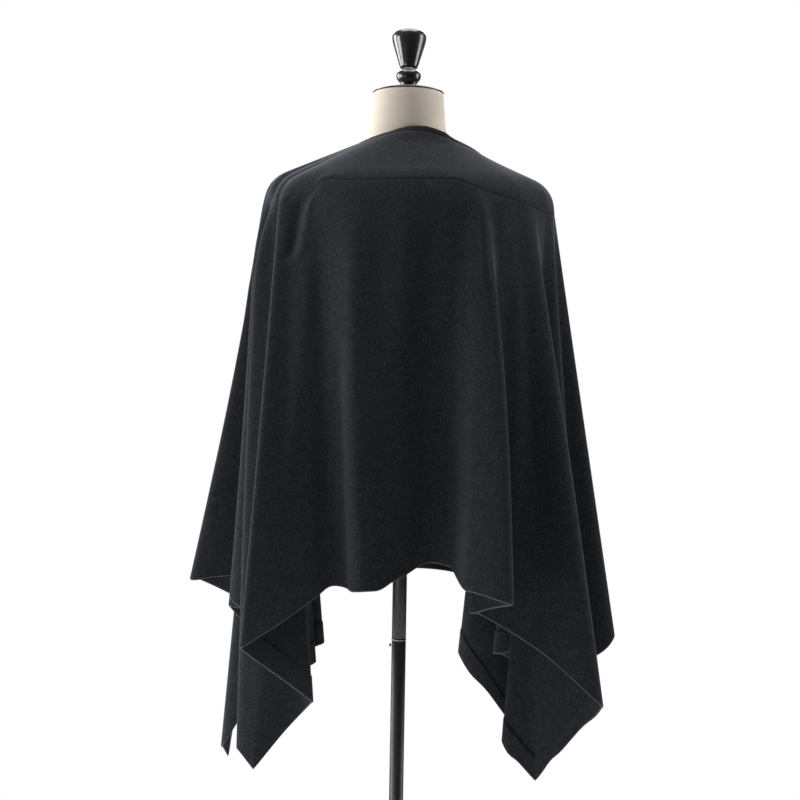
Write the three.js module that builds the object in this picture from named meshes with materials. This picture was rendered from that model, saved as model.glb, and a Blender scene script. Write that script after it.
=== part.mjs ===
// A wide poncho in brushed wool, worn by a limbless dress form on a pole with a round base.
// Millimetres, +Z up. The wearer faces +Y and the wearer's right is +X. The origin is the centre of
// the base's underside, on the pole's axis.
import * as THREE from "three";

// Cloth
const WALL = 2; // thickness of the felted cloth
const SEAM_GAP = 0.3; // pieces stand this far apart at a seam
const HEM_DEPTH = 36; // height of the turned-up hem
const HEM_EXTRA = 1.6; // what the turned-up layer adds on the inside
const HEM_STEP = 2; // length over which the turned-up layer begins
const BINDING_WIDTH = 8;
const BINDING_THICKNESS = 3.6;
const BINDING_STEP = 4; // columns of the cloth closer than this are passed over
const SHOULDER_BEND = 30; // the slope from the neck bends down over the shoulder within this much each way
const SHOULDER_ROUND = 3; // how far the slope from neck to seam rises above a straight line
const FOLD_SHARE = 0.6; // tightness of a fold's edge, as a share of the facet beside it
const ROUND_SHARE = 0.8;
const CORNER_SHARE = 0.06;
const SOFT_SHARE = 0.9;
const FOLDS_SET_BY = 0.7; // share of the drop at which a fold has its full sharpness
const STRAIGHT_TURN = 0.08; // where a fold line has no turn of its own, its direction is set this far down

// The neck opening is an oval that sits a little towards the wearer's right, and its height changes on
// the way round. Angles are in degrees, 0 at the wearer's right and -90 at the back.
const NECK = { x: 22, y: 5, halfWidth: 98, halfDepth: 75 };
const NECK_HEIGHTS = [
  { at: -60, z: 1400 },
  { at: -80, z: 1412 },
  { at: -100, z: 1415 },
  { at: -121, z: 1410 },
  { at: -148, z: 1405 },
  { at: -180, z: 1402 },
  { at: -225, z: 1386 },
  { at: -270, z: 1366 },
  { at: -315, z: 1368 },
  { at: -355, z: 1381 },
  { at: -388, z: 1389 },
];

// Fold lines, clockwise seen from above, from the centre back. The columns are the name, the kind, the
// place on the neck opening in degrees, the place on the yoke's seam (at the front, the same height on
// the chest), the turn below it, if the line has one of its own, the lower end at the hem, and how far
// above the seam the cloth bends from the shoulder's slope into its drop.
const FOLD_LINES = [
  ["centre_back", "soft", -86, [38, -118, 1335], [38, -123, 1315], [46, -115, 771], 12],
  ["back_ease_left", "soft", -101, [-6, -119, 1334], [-6, -124, 1314], [2, -138, 752], 12],
  ["left_soft_ridge", "soft", -114, [-80, -108, 1333], [-81, -114, 1313], [-52, -168, 736], 14],
  ["left_soft_valley", "soft", -122, [-126, -93, 1333], [-127, -98, 1313], [-96, -138, 734], 18],
  ["left_step", "soft", -128, [-143, -86, 1316], [-144, -88, 1300], [-134, -150, 712], 26],
  ["left_near_rise", "soft", -134, [-168, -76, 1314], [-170, -78, 1296], [-168, -165, 688], 26],
  ["left_near_edge", "fold", -140, [-192, -69, 1292], null, [-225, -190, 654], 42],
  ["left_inner_valley", "fold", -145, [-188, -53, 1291], null, [-127, -105, 567], 42],
  ["back_left_corner", "corner", -150, [-199, -45, 1296], null, [-213, -93, 458], 46],
  ["left_second_edge", "fold", -155, [-208, -36, 1294], [-227, -40, 1238], [-239, -78, 484], 50],
  ["left_hidden_valley", "fold", -160, [-207, -25, 1297], null, [-168, -30, 617], 50],
  ["left_third_edge", "fold", -166, [-219, -14, 1299], [-234, -13, 1246], [-264, 10, 702], 50],
  ["left_side_valley", "fold", -172, [-217, -2, 1299], null, [-240, 50, 727], 50],
  ["over_arm_left", "round", -179, [-224, 7, 1299], null, [-333, 60, 721], 50],
  ["left_far_valley", "fold", -185, [-212, 17, 1299], null, [-205, 78, 664], 48],
  ["left_far_ridge", "fold", -190, [-214, 25, 1298], null, [-275, 95, 672], 48],
  ["left_front_valley", "fold", -195, [-206, 34, 1296], null, [-205, 122, 608], 46],
  ["left_front_edge", "fold", -198, [-211, 43, 1296], null, [-292, 165, 428], 45],
  ["front_left_corner", "corner", -202, [-208, 51, 1293], null, [-284, 183, 408], 44],
  ["front_corner_rise", "soft", -204, [-205, 56, 1290], null, [-262, 190, 500], 44],
  ["front_inner_valley", "fold", -207, [-195, 60, 1288], null, [-138, 156, 572], 42],
  ["front_small_ridge", "fold", -210, [-192, 67, 1284], null, [-168, 165, 585], 40],
  ["front_second_valley", "fold", -215, [-183, 74, 1281], null, [-126, 174, 601], 38],
  ["front_left_edge", "fold", -222, [-176, 86, 1278], null, [-228, 215, 640], 36],
  ["front_left_rise", "soft", -234, [-118, 96, 1321], null, [-150, 192, 700], 30],
  ["front_soft_ridge", "soft", -250, [-73, 107, 1322], null, [-76, 200, 715], 20],
  ["front_soft_valley", "soft", -263, [-16, 110, 1324], null, [0, 172, 729], 18],
  ["centre_front", "soft", -276, [40, 110, 1325], null, [62, 178, 727], 18],
  ["front_right_rise", "soft", -291, [92, 104, 1322], null, [120, 196, 712], 22],
  ["front_right_edge", "fold", -306, [138, 90, 1320], [156, 90, 1290], [181, 218, 677], 28],
  ["front_right_valley", "fold", -317, [164, 74, 1319], null, [101, 152, 596], 28],
  ["front_right_corner", "corner", -325, [184, 58, 1317], null, [236, 148, 415], 31],
  ["right_front_edge", "fold", -330, [192, 50, 1316], null, [264, 126, 468], 33],
  ["right_front_valley", "fold", -336, [202, 40, 1313], null, [182, 115, 500], 35],
  ["right_far_ridge", "fold", -343, [212, 28, 1309], null, [286, 104, 548], 37],
  ["right_far_valley", "fold", -350, [222, 15, 1304], null, [153, 82, 606], 40],
  ["over_arm_right", "round", -358, [229, 2, 1299], null, [339, 48, 646], 42],
  ["right_side_valley", "fold", -364, [227, -11, 1299], null, [258, 28, 566], 42],
  ["right_third_edge", "fold", -370, [222, -24, 1299], null, [289, 2, 560], 41],
  ["right_corner_edge", "fold", -376, [213, -39, 1298], null, [164, -8, 489], 40],
  ["back_right_corner", "corner", -382, [202, -55, 1299], null, [213, -20, 429], 39],
  ["right_second_edge", "fold", -389, [186, -74, 1304], null, [304, -95, 561], 35],
  ["right_wide_slope", "soft", -397, [162, -91, 1309], null, [211, -92, 639], 28],
  ["right_inner_valley", "fold", -405, [138, -103, 1314], [138, -107, 1290], [104, -125, 703], 22],
  ["right_near_edge", "fold", -413, [115, -110, 1320], [117, -116, 1298], [160, -190, 722], 18],
  ["right_step_ridge", "fold", -420, [95, -114, 1328], [96, -120, 1307], [97, -174, 738], 14],
  ["right_step_valley", "soft", -430, [72, -117, 1334], [72, -122, 1314], [68, -116, 765], 12],
].map(([name, kind, neckAt, seam, turn, hem, drop]) => ({ name, kind, neckAt, seam, turn, hem, drop }));

// Dress form: half width, half depth and depth offset of its level sections, from the base of the torso
// to the top of the neck.
const FORM_SECTIONS = [
  { z: 790, halfWidth: 152, halfDepth: 94, y: -2 },
  { z: 850, halfWidth: 158, halfDepth: 99, y: -2 },
  { z: 930, halfWidth: 143, halfDepth: 92, y: 0 },
  { z: 1010, halfWidth: 114, halfDepth: 79, y: 2 },
  { z: 1100, halfWidth: 124, halfDepth: 87, y: 4 },
  { z: 1190, halfWidth: 143, halfDepth: 103, y: 8 },
  { z: 1250, halfWidth: 160, halfDepth: 103, y: 2 },
  { z: 1300, halfWidth: 185, halfDepth: 93, y: -5 },
  { z: 1335, halfWidth: 188, halfDepth: 77, y: -11 },
  { z: 1358, halfWidth: 157.4, halfDepth: 68, y: -11 },
  { z: 1378, halfWidth: 122.4, halfDepth: 62, y: -9 },
  { z: 1396, halfWidth: 68, halfDepth: 55, y: -3 },
  { z: 1412, halfWidth: 61.5, halfDepth: 54, y: 1 },
  { z: 1426, halfWidth: 60.5, halfDepth: 55.5, y: 1 },
  { z: 1440, halfWidth: 58.3, halfDepth: 55.5, y: 1 },
  { z: 1460, halfWidth: 56.8, halfDepth: 55.5, y: 0.5 },
  { z: 1484, halfWidth: 55, halfDepth: 55, y: 0 },
];
const FORM_AROUND = 36;
const FORM_RINGS = 28;

// Stand
const POLE_RADIUS = 11;
const BASE_RADIUS = 160;
const BASE_HEIGHT = 14;
const BASE_EDGE = 5;
const BOSS_RADIUS = 24;
const BOSS_TOP = 46;
const JOINT_HEIGHT = 638; // where the two tubes of the pole meet
const RING_HEIGHT = 2.4;
const RING_RADIUS = 11.4;
const PIN_BELOW_JOINT = 8;
const PIN_RADIUS = 2.6;
const PIN_REACH = 4.5;
const PIN_DOME = 1.6;
const SOCKET_RADIUS = 28;
const SOCKET_HEIGHT = 24;
const CAP_RADIUS = 55;
const CAP_HEIGHT = 5.5;
const ROUND_STEPS = 24;

const wool = new THREE.MeshStandardMaterial({ color: 0x2b3036, roughness: 0.95, metalness: 0 });
const binding = new THREE.MeshStandardMaterial({ color: 0x24282d, roughness: 0.9, metalness: 0 });
const formCloth = new THREE.MeshStandardMaterial({ color: 0xb3a899, roughness: 0.85, metalness: 0 });
const capBrown = new THREE.MeshStandardMaterial({ color: 0x2a211c, roughness: 0.6, metalness: 0 });
const lacquer = new THREE.MeshStandardMaterial({ color: 0x0c0c0d, roughness: 0.15, metalness: 0 });
const satinBlack = new THREE.MeshStandardMaterial({ color: 0x2a2928, roughness: 0.4, metalness: 0.6 });
const bareMetal = new THREE.MeshStandardMaterial({ color: 0x8d8c88, roughness: 0.35, metalness: 0.9 });

const vec = (p) => new THREE.Vector3(...p);
const along = (from, to, share) => from.clone().lerp(to, share);

function ovalPoint(degrees, height) {
  const angle = THREE.MathUtils.degToRad(degrees);
  const x = NECK.x + NECK.halfWidth * Math.cos(angle);
  return new THREE.Vector3(x, NECK.y + NECK.halfDepth * Math.sin(angle), height);
}

const NECK_CURVE = new THREE.CatmullRomCurve3(NECK_HEIGHTS.map((row) => ovalPoint(row.at, row.z)), true);

// Point on the neck opening at an angle.
function neckPoint(degrees) {
  const count = NECK_HEIGHTS.length;
  const first = NECK_HEIGHTS[0].at;
  const angle = first - THREE.MathUtils.euclideanModulo(first - degrees, 360);
  const row = NECK_HEIGHTS.findLastIndex((r) => angle <= r.at);
  const end = row + 1 < count ? NECK_HEIGHTS[row + 1].at : first - 360;
  const share = (NECK_HEIGHTS[row].at - angle) / (NECK_HEIGHTS[row].at - end);
  return NECK_CURVE.getPoint((row + share) / count);
}

// One fold line as a path: over the shoulder from the neck to the seam (level 0 to 1), then round its
// turn and straight to the hem (level 1 to 2).
function foldPath(line) {
  const neck = neckPoint(line.neckAt);
  const seam = vec(line.seam);
  const hem = vec(line.hem);
  const turn = line.turn ? vec(line.turn) : along(seam, hem, STRAIGHT_TURN);
  const corner = seam.clone().add(seam.clone().sub(turn).setLength(line.drop));
  const level = (p, q) => Math.hypot(p.x - q.x, p.y - q.y);
  const slopeHeight = THREE.MathUtils.lerp(seam.z, neck.z, level(corner, seam) / level(neck, seam));
  corner.z = Math.max(corner.z, slopeHeight + SHOULDER_ROUND);
  const leg = Math.min(SHOULDER_BEND, corner.distanceTo(seam));
  const slopeEnd = corner.clone().add(neck.clone().sub(corner).setLength(leg));
  const dropStart = corner.clone().add(seam.clone().sub(corner).setLength(leg));
  const over = new THREE.QuadraticBezierCurve3(slopeEnd, corner, dropStart);
  const slope = neck.distanceTo(slopeEnd);
  const drop = dropStart.distanceTo(seam);
  const bend = seam.distanceTo(turn);
  const straightFrom = turn.clone().add(hem.clone().sub(turn).setLength(bend));
  const round = new THREE.QuadraticBezierCurve3(seam, turn, straightFrom);
  const total = 2 * bend + straightFrom.distanceTo(hem);
  return {
    length: total,
    at(level) {
      if (level <= 1) {
        const run = level * (slope + 2 * leg + drop);
        if (run < slope) return along(neck, slopeEnd, run / slope);
        if (run < slope + 2 * leg || drop < 0.1) return over.getPoint(Math.min(1, (run - slope) / (2 * leg)));
        return along(dropStart, seam, (run - slope - 2 * leg) / drop);
      }
      const gone = (level - 1) * total;
      if (gone < 2 * bend) return round.getPoint(gone / (2 * bend));
      return along(straightFrom, hem, (gone - 2 * bend) / (total - 2 * bend));
    },
  };
}

const PATHS = FOLD_LINES.map(foldPath);

// Columns of the cloth between two fold lines: close together at the folds' edges.
const WIDE_STEPS = [0, 0.08, 0.3, 0.7, 0.92];
const SOFT_STEPS = [0, 0.33, 0.66];
const NARROW_STEPS = [0, 0.25, 0.75];
const NARROW_BELOW = 60;

const isFolded = (line) => line.kind === "fold" || line.kind === "round";

const COLUMNS = FOLD_LINES.flatMap((line, i) => {
  const next = (i + 1) % FOLD_LINES.length;
  const width = vec(line.hem).distanceTo(vec(FOLD_LINES[next].hem));
  const soft = !isFolded(line) && !isFolded(FOLD_LINES[next]);
  const steps = width < NARROW_BELOW ? NARROW_STEPS : soft ? SOFT_STEPS : WIDE_STEPS;
  return steps.map((share) => ({ line: i, next, share }));
});

function columnOf(name) {
  return COLUMNS.findIndex((c) => FOLD_LINES[c.line].name === name && c.share === 0);
}

// Levels of the cloth's rows: above the seam, and below it as far as the hem.
const CAP_LEVELS = [0, 0.35, 0.62, 0.76, 0.88, 1];
const SKIRT_LEVELS = [1, 1.04, 1.09, 1.16, 1.3, 1.6];

// Direction and reach of the cloth's row where it crosses fold line i at a level.
function crossing(i, level) {
  const count = FOLD_LINES.length;
  const here = PATHS[i].at(level);
  const before = PATHS[(i + count - 1) % count].at(level);
  const after = PATHS[(i + 1) % count].at(level);
  const direction = after.clone().sub(here).normalize().add(here.clone().sub(before).normalize());
  const settled = THREE.MathUtils.clamp((level - 1) / FOLDS_SET_BY, 0, 1);
  const kind = FOLD_LINES[i].kind;
  if (isFolded(FOLD_LINES[i])) {
    const step = 0.01;
    const above = PATHS[i].at(Math.max(0, level - step));
    const down = PATHS[i].at(Math.min(2, level + step)).sub(above).normalize();
    direction.addScaledVector(down, -direction.dot(down) * settled);
  }
  const tight = { fold: FOLD_SHARE, round: ROUND_SHARE, corner: CORNER_SHARE, soft: SOFT_SHARE }[kind];
  return { here, direction: direction.normalize(), share: THREE.MathUtils.lerp(SOFT_SHARE, tight, settled) };
}

// Point of the cloth's middle surface in a column at a level.
function clothPoint(column, level) {
  const a = crossing(column.line, level);
  if (column.share === 0) return a.here;
  const b = crossing(column.next, level);
  const width = a.here.distanceTo(b.here);
  const s = column.share;
  const fromA = 2 * s ** 3 - 3 * s ** 2 + 1;
  const fromB = 1 - fromA;
  const slopeA = (s ** 3 - 2 * s ** 2 + s) * width * a.share;
  const slopeB = (s ** 3 - s ** 2) * width * b.share;
  return a.here
    .multiplyScalar(fromA)
    .addScaledVector(b.here, fromB)
    .addScaledVector(a.direction, slopeA)
    .addScaledVector(b.direction, slopeB);
}

// Levels of one column: the turned-up hem begins at the same height in every column.
function levelsOf(column) {
  const length = THREE.MathUtils.lerp(PATHS[column.line].length, PATHS[column.next].length, column.share);
  const hemTop = 2 - HEM_DEPTH / length;
  return [...CAP_LEVELS.slice(0, -1), ...SKIRT_LEVELS, hemTop - HEM_STEP / length, hemTop, 2];
}

const SURFACE = COLUMNS.map((column) => levelsOf(column).map((level) => clothPoint(column, level)));
const ROW_COUNT = SURFACE[0].length;
const SEAM_ROW = CAP_LEVELS.length - 1;
const HEM_ROWS = 2; // the last rows, which have the turned-up layer

const NORMALS = SURFACE.map((rows, i) =>
  rows.map((point, j) => {
    const left = SURFACE[(i + COLUMNS.length - 1) % COLUMNS.length][j];
    const right = SURFACE[(i + 1) % COLUMNS.length][j];
    const up = rows[Math.max(0, j - 1)];
    const down = rows[Math.min(ROW_COUNT - 1, j + 1)];
    const before = point.clone().sub(left).normalize();
    const after = right.clone().sub(point).normalize();
    return before.add(after).cross(down.clone().sub(up)).normalize();
  }),
);

function closedMesh(positions, triangles, name, material) {
  const geometry = new THREE.BufferGeometry();
  geometry.setAttribute("position", new THREE.Float32BufferAttribute(positions, 3));
  geometry.setIndex(triangles);
  geometry.computeVertexNormals();
  const mesh = new THREE.Mesh(geometry, material);
  mesh.name = name;
  return mesh;
}

// A panel of cloth: the surface's columns and rows from first to last, given its thickness. Edges that
// are sewn to another piece stand back by half the seam's gap.
function panel(name, firstColumn, columnCount, firstRow, lastRow, sewn) {
  const rowCount = lastRow - firstRow + 1;
  const columns = Array.from({ length: columnCount }, (_, k) => (firstColumn + k) % COLUMNS.length);
  const middle = columns.map((i) => SURFACE[i].slice(firstRow, lastRow + 1).map((p) => p.clone()));
  const draw = (point, towards) => point.add(towards.clone().sub(point).setLength(SEAM_GAP / 2));
  middle.forEach((rows) => {
    if (sewn.top) draw(rows[0], rows[1]);
    if (sewn.bottom) draw(rows[rowCount - 1], rows[rowCount - 2]);
  });
  for (let j = 0; j < rowCount; j++) {
    draw(middle[0][j], middle[1][j]);
    draw(middle[columnCount - 1][j], middle[columnCount - 2][j]);
  }
  const positions = [];
  const side = (outside) =>
    columns.forEach((i, k) => {
      for (let j = 0; j < rowCount; j++) {
        const turnedUp = !outside && firstRow + j >= ROW_COUNT - HEM_ROWS ? HEM_EXTRA : 0;
        const reach = outside ? WALL / 2 : -WALL / 2 - turnedUp;
        positions.push(...middle[k][j].clone().addScaledVector(NORMALS[i][firstRow + j], reach).toArray());
      }
    });
  side(true);
  side(false);
  const outer = (k, j) => k * rowCount + j;
  const inner = (k, j) => columnCount * rowCount + k * rowCount + j;
  const triangles = [];
  const quad = (a, b, c, d) => triangles.push(a, b, c, a, c, d);
  for (let k = 0; k + 1 < columnCount; k++) {
    for (let j = 0; j + 1 < rowCount; j++) {
      quad(outer(k, j), outer(k + 1, j), outer(k + 1, j + 1), outer(k, j + 1));
      triangles.push(inner(k, j), inner(k + 1, j + 1), inner(k + 1, j));
      triangles.push(inner(k, j), inner(k, j + 1), inner(k + 1, j + 1));
    }
    quad(outer(k, 0), inner(k, 0), inner(k + 1, 0), outer(k + 1, 0));
    const end = rowCount - 1;
    quad(outer(k, end), outer(k + 1, end), inner(k + 1, end), inner(k, end));
  }
  const last = columnCount - 1;
  for (let j = 0; j + 1 < rowCount; j++) {
    quad(outer(0, j), outer(0, j + 1), inner(0, j + 1), inner(0, j));
    quad(outer(last, j), inner(last, j), inner(last, j + 1), outer(last, j + 1));
  }
  return closedMesh(positions, triangles, name, wool);
}

// The bound edge round the neck: a flat-sided strip with rounded upper corners, which carries on from
// the cloth's own edge.
function neckBinding() {
  const section = [
    { along: 0, out: -0.5 },
    { along: 0, out: 0.5 },
    { along: 0.8, out: 0.5 },
    { along: 1, out: 0 },
    { along: 0.8, out: -0.5 },
  ];
  const taken = [];
  SURFACE.forEach((rows, i) => {
    const last = taken.length ? SURFACE[taken[taken.length - 1]][0] : null;
    if (!last || rows[0].distanceTo(last) > BINDING_STEP) taken.push(i);
  });
  const positions = [];
  taken.forEach((i) => {
    const edge = SURFACE[i][0];
    const before = SURFACE[(i + COLUMNS.length - 1) % COLUMNS.length][0];
    const after = SURFACE[(i + 1) % COLUMNS.length][0];
    const inward = after.clone().sub(before).cross(NORMALS[i][0]).normalize();
    section.forEach((corner) => {
      const point = edge
        .clone()
        .addScaledVector(inward, SEAM_GAP + corner.along * BINDING_WIDTH)
        .addScaledVector(NORMALS[i][0], corner.out * BINDING_THICKNESS);
      positions.push(...point.toArray());
    });
  });
  const triangles = [];
  const sides = section.length;
  taken.forEach((_, k) => {
    const next = (k + 1) % taken.length;
    for (let s = 0; s < sides; s++) {
      const t = (s + 1) % sides;
      const corners = [k * sides + s, k * sides + t, next * sides + t, next * sides + s];
      triangles.push(corners[0], corners[1], corners[2], corners[0], corners[2], corners[3]);
    }
  });
  return closedMesh(positions, triangles, "neck_binding", binding);
}

// The torso and neck of the dress form in one body, lofted through its level sections.
function formTorso() {
  const curveOf = (key) => {
    const points = FORM_SECTIONS.map((section) => new THREE.Vector3(section[key], 0, section.z));
    return new THREE.CatmullRomCurve3(points, false, "centripetal");
  };
  const curves = { halfWidth: curveOf("halfWidth"), halfDepth: curveOf("halfDepth"), y: curveOf("y") };
  const positions = [];
  for (let ring = 0; ring < FORM_RINGS; ring++) {
    const at = ring / (FORM_RINGS - 1);
    const wide = curves.halfWidth.getPoint(at);
    for (let k = 0; k < FORM_AROUND; k++) {
      const angle = (2 * Math.PI * k) / FORM_AROUND;
      const depth = curves.halfDepth.getPoint(at).x;
      positions.push(wide.x * Math.cos(angle), curves.y.getPoint(at).x + depth * Math.sin(angle), wide.z);
    }
  }
  const bottom = positions.length / 3;
  const first = FORM_SECTIONS[0];
  const top = FORM_SECTIONS[FORM_SECTIONS.length - 1];
  positions.push(0, 0, first.z, 0, 0, top.z);
  const triangles = [];
  for (let k = 0; k < FORM_AROUND; k++) {
    const next = (k + 1) % FORM_AROUND;
    for (let ring = 0; ring + 1 < FORM_RINGS; ring++) {
      const low = ring * FORM_AROUND;
      const high = low + FORM_AROUND;
      triangles.push(low + k, low + next, high + next, low + k, high + next, high + k);
    }
    const last = (FORM_RINGS - 1) * FORM_AROUND;
    triangles.push(bottom, next, k, bottom + 1, last + k, last + next);
  }
  return closedMesh(positions, triangles, "form_torso", formCloth);
}

// A turned piece on the pole's axis, from its profile as rows of radius and height.
function turned(name, profile, material) {
  const points = profile.map(([radius, height]) => new THREE.Vector2(radius, height));
  const mesh = new THREE.Mesh(new THREE.LatheGeometry(points, ROUND_STEPS).rotateX(Math.PI / 2), material);
  mesh.name = name;
  return mesh;
}

function stand() {
  const formBottom = FORM_SECTIONS[0].z;
  const formTop = FORM_SECTIONS[FORM_SECTIONS.length - 1].z;
  const socketBottom = formBottom - SEAM_GAP - SOCKET_HEIGHT;
  const jointTop = JOINT_HEIGHT + RING_HEIGHT;
  const capBottom = formTop + SEAM_GAP;
  const capTop = capBottom + CAP_HEIGHT;
  const disc = (radius, low, high) => [[0, low], [radius, low], [radius, high], [0, high]];
  const base = turned(
    "stand_base",
    [
      [0, 0],
      [BASE_RADIUS - 2, 0],
      [BASE_RADIUS, 2],
      [BASE_RADIUS, BASE_HEIGHT - BASE_EDGE],
      [BASE_RADIUS - BASE_EDGE * 0.3, BASE_HEIGHT - BASE_EDGE * 0.3],
      [BASE_RADIUS - BASE_EDGE, BASE_HEIGHT],
      [BOSS_RADIUS + 4, BASE_HEIGHT],
      [BOSS_RADIUS, BASE_HEIGHT + 4],
      [BOSS_RADIUS, BOSS_TOP - 3],
      [BOSS_RADIUS - 3, BOSS_TOP],
      [0, BOSS_TOP],
    ],
    satinBlack,
  );
  const lowerRod = disc(POLE_RADIUS, BOSS_TOP + SEAM_GAP, JOINT_HEIGHT - SEAM_GAP);
  const lowerTube = turned("pole_lower", lowerRod, satinBlack);
  const ring = turned("pole_ring", disc(RING_RADIUS, JOINT_HEIGHT, jointTop), bareMetal);
  const upperRod = disc(POLE_RADIUS, jointTop + SEAM_GAP, socketBottom - SEAM_GAP);
  const upperTube = turned("pole_upper", upperRod, satinBlack);
  const socket = turned("form_socket", disc(SOCKET_RADIUS, socketBottom, formBottom - SEAM_GAP), capBrown);
  const cap = turned(
    "form_neck_cap",
    [
      [0, capBottom],
      [CAP_RADIUS, capBottom],
      [CAP_RADIUS, capTop - 4],
      [CAP_RADIUS - 2, capTop - 2.4],
      [CAP_RADIUS - 9, capTop - 0.6],
      [CAP_RADIUS - 16, capTop],
      [0, capTop],
    ],
    capBrown,
  );
  const finialBottom = capTop + SEAM_GAP;
  const collar = turned(
    "finial_collar",
    [
      [0, finialBottom],
      [14, finialBottom],
      [12, finialBottom + 3],
      [12, finialBottom + 10],
      [16.5, finialBottom + 14],
      [19, finialBottom + 19],
      [19, finialBottom + 24],
      [16, finialBottom + 29],
      [13.5, finialBottom + 31],
      [13, finialBottom + 34],
      [0, finialBottom + 34],
    ],
    lacquer,
  );
  const finialFoot = finialBottom + 34 + SEAM_GAP;
  const finialTop = 1588;
  const finial = turned(
    "finial",
    [
      [0, finialFoot],
      [13, finialFoot],
      [14.5, finialFoot + 2],
      [18.6, finialTop - 47],
      [23.2, finialTop - 32],
      [25.4, finialTop - 25],
      [26.4, finialTop - 18],
      [25.7, finialTop - 12.5],
      [23, finialTop - 8.2],
      [18.5, finialTop - 4.6],
      [11, finialTop - 1.5],
      [0, finialTop],
    ],
    lacquer,
  );
  const pinAxis = new THREE.Group();
  pinAxis.position.set(-POLE_RADIUS, 0, JOINT_HEIGHT - PIN_BELOW_JOINT);
  pinAxis.rotation.y = -Math.PI / 2;
  pinAxis.add(
    turned(
      "pole_pin",
      [
        [0, 2 * SEAM_GAP],
        [PIN_RADIUS, 2 * SEAM_GAP],
        [PIN_RADIUS, PIN_REACH - PIN_DOME],
        [PIN_RADIUS * 0.6, PIN_REACH - PIN_DOME * 0.25],
        [0, PIN_REACH],
      ],
      bareMetal,
    ),
  );
  const group = new THREE.Group();
  group.add(base, lowerTube, ring, upperTube, socket, cap, collar, finial, pinAxis);
  return group;
}

const root = new THREE.Group();
const leftSeam = columnOf("over_arm_left");
const rightSeam = columnOf("over_arm_right");
const frontCount = rightSeam - leftSeam + 1;
const backCount = COLUMNS.length - frontCount + 2;
root.add(
  panel("back_yoke", rightSeam, backCount, 0, SEAM_ROW, { top: false, bottom: true }),
  panel("back_panel", rightSeam, backCount, SEAM_ROW, ROW_COUNT - 1, { top: true, bottom: false }),
  panel("front_panel", leftSeam, frontCount, 0, ROW_COUNT - 1, { top: false, bottom: false }),
  neckBinding(),
  formTorso(),
  stand(),
);

export default root;
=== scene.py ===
import math

import bpy
import numpy as np
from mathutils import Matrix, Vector


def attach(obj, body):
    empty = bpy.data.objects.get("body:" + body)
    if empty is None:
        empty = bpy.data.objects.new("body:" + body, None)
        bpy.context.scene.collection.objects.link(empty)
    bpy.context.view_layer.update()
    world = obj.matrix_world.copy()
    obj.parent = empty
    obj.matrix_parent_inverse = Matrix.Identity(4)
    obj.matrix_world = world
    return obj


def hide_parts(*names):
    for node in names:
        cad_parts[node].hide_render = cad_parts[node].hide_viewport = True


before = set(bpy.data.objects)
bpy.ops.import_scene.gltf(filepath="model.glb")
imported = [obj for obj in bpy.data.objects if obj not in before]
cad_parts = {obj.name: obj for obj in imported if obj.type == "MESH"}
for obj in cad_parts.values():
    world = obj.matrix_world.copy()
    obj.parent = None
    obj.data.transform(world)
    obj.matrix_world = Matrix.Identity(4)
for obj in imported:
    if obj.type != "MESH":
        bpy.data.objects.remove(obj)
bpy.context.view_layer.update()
scene = bpy.context.scene
scene.view_settings.view_transform = "Standard"

# Camera, behind the wearer at chest height and a little rolled, as in the photograph.
camera_data = bpy.data.cameras.new("camera")
camera_data.sensor_width = 36
camera_data.lens = 63.87
camera = bpy.data.objects.new("camera", camera_data)
camera.location = (-0.00465, -2.2, 1.01)
camera.rotation_euler = (math.radians(90), math.radians(-1), 0)
scene.collection.objects.link(camera)
scene.camera = camera

# The wool. The poncho is cut from a soft, felted and brushed cloth about 2 mm thick. It is eased into a
# yoke seam and thrown over both shoulders, and it falls in long folds that are all fixed at the seam or
# at the shoulder. One run of fold lines, clockwise seen from above, carries the whole garment.
WALL = 2.0  # mm
HEM_DEPTH = 36.0
HEM_EXTRA = 1.1  # what the pressed, turned-up layer adds on the inside
SEAM_GAP = 0.3
NECK_AXIS = (22.0, 5.0)
NECK_HALF = (98.0, 75.0)
NECK_HEIGHTS = [  # degrees round the opening and the height of its edge
    (-60, 1400), (-80, 1412), (-100, 1415), (-121, 1410), (-148, 1405), (-180, 1402),
    (-225, 1386), (-270, 1366), (-315, 1368), (-355, 1381), (-388, 1389),
]
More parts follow.
